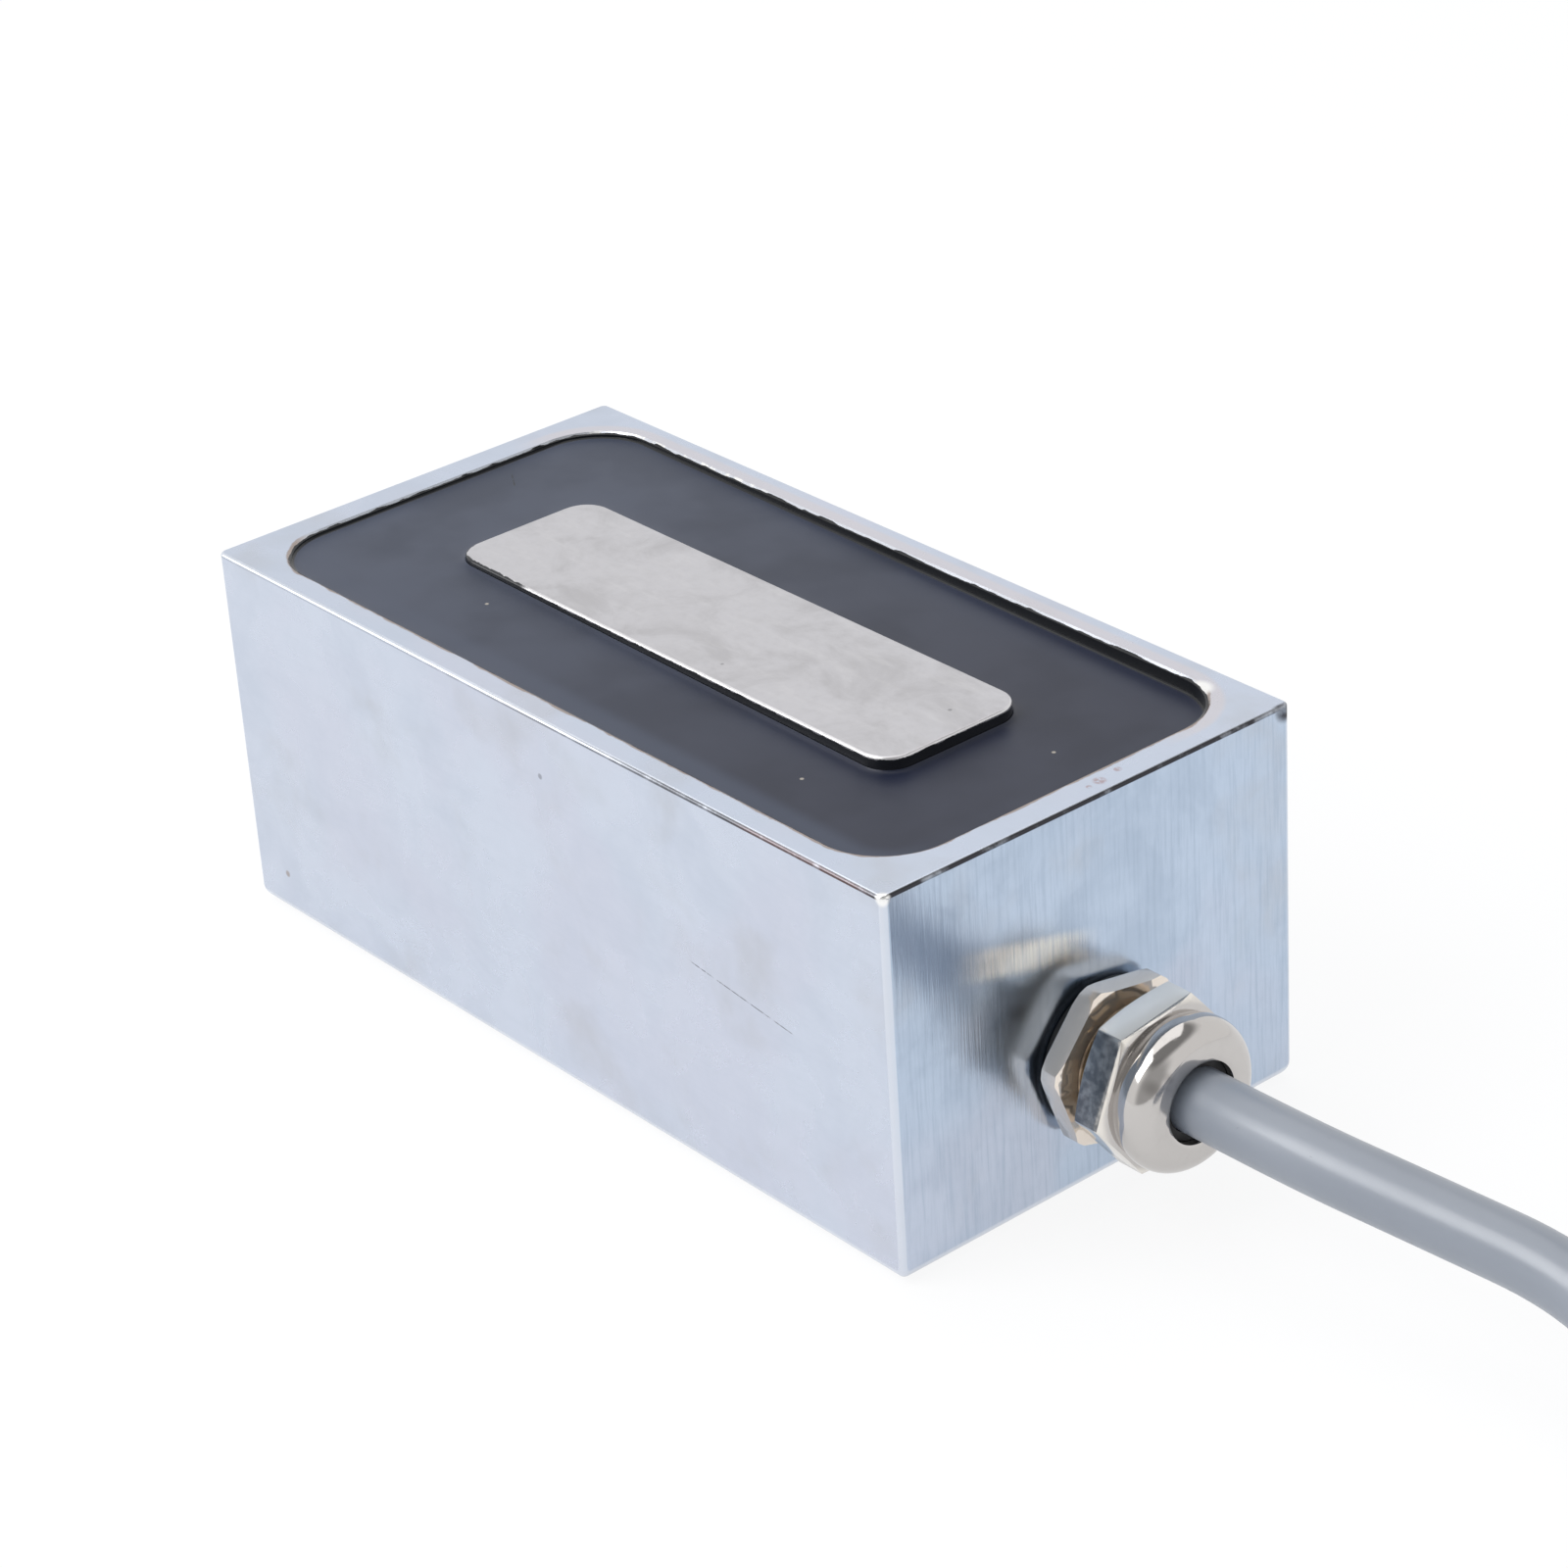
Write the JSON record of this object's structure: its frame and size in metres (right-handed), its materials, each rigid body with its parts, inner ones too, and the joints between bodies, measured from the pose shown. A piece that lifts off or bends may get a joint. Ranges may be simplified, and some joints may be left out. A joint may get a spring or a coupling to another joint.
{
  "type": "rectangular holding electromagnet",
  "caption": "Rectangular holding electromagnet: plated steel block, resin-filled pocket around a flush pole bar, and a metal cable gland with a coiled lead.",
  "frame": {"origin": "middle of the block's back face, the face opposite the poles", "axes": "+X along the block's long side towards the cable gland, +Z out of the pole face"},
  "size_m": [0.303, 0.0912, 0.0475],
  "materials": {
    "zinc_plated_steel": "bright zinc plating, satin and a little cloudy",
    "pole_steel": "ground face, thinly plated, satin",
    "screw_steel": "zinc plated, satin",
    "former_nylon": "moulded, matt",
    "enamelled_copper": "enamelled copper, satin",
    "insulating_tape": "polyester film tape, satin",
    "casting_resin": "cast resin, semi-gloss dark grey",
    "nickel_plated_brass": "nickel plated, bright",
    "black_rubber": "moulded rubber, matt",
    "cage_nylon": "moulded nylon, matt",
    "grey_cable_jacket": "smooth cable jacket, semi-matt grey",
    "strap_nylon": "moulded nylon, matt black",
    "brown_insulation": "smooth wire insulation",
    "blue_insulation": "smooth wire insulation",
    "tinned_copper": "tinned, satin",
    "shrink_tube": "heat-shrink tube, satin"
  },
  "bodies": {
    "root": {"housing": "zinc_plated_steel", "core": "pole_steel", "core_screws": "screw_steel", "bobbin": "former_nylon", "winding": "enamelled_copper", "winding_tape": "insulating_tape", "potting": "casting_resin", "gland_body": "nickel_plated_brass", "gland_seal_ring": "black_rubber", "gland_locknut": "nickel_plated_brass", "gland_nut": "nickel_plated_brass", "gland_cage": "cage_nylon", "gland_sleeve": "black_rubber", "cable_lead": "grey_cable_jacket", "cable_coil": "grey_cable_jacket", "cable_tie": "strap_nylon", "tail_brown": "brown_insulation", "tail_blue": "blue_insulation", "ferrule_brown": "tinned_copper", "ferrule_blue": "tinned_copper", "core_wire_brown": "brown_insulation", "core_wire_blue": "blue_insulation", "coil_end_start": "enamelled_copper", "coil_end_finish": "enamelled_copper", "splice_start": "tinned_copper", "splice_finish": "tinned_copper", "splice_sleeve_start": "shrink_tube", "splice_sleeve_finish": "shrink_tube"}
  },
  "joints": []
}
